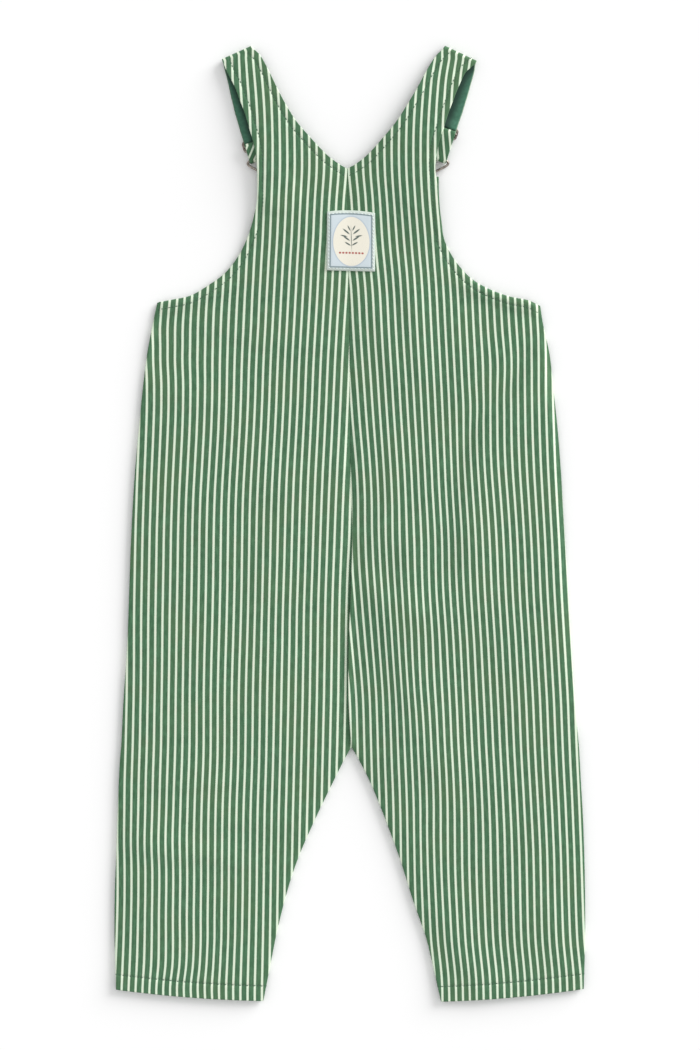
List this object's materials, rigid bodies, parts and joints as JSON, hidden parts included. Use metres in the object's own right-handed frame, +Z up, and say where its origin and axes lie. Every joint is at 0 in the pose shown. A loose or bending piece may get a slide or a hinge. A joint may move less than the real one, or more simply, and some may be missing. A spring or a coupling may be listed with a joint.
{
  "type": "kids bib overalls laid flat",
  "caption": "Striped bib overalls for a small child, laid flat with the back up, with folded shoulder straps, wire bib buckles, adjuster slides and a woven back label.",
  "frame": {"origin": "middle of the garment's outline, on the surface that it lies on", "axes": "+Y from the leg hems to the straps, +Z up from the surface, out of the garment's back; +X to the right of someone who looks down on the back"},
  "size_m": [0.3522, 0.716, 0.0082],
  "materials": {
    "striped_twill": "cotton twill, green with fine ecru stripes",
    "plain_facing": "smooth plain green cotton",
    "woven_label": "woven label, pale blue and cream",
    "nickel": "antique nickel"
  },
  "bodies": {
    "root": {"back_left": "striped_twill", "back_right": "striped_twill", "front_left": "striped_twill", "front_right": "striped_twill", "facing_left": "plain_facing", "facing_right": "plain_facing", "label": "woven_label", "slide_left": "nickel", "slide_right": "nickel", "buckle_left": "nickel", "buckle_right": "nickel", "button_left": "nickel", "button_right": "nickel"}
  },
  "joints": []
}
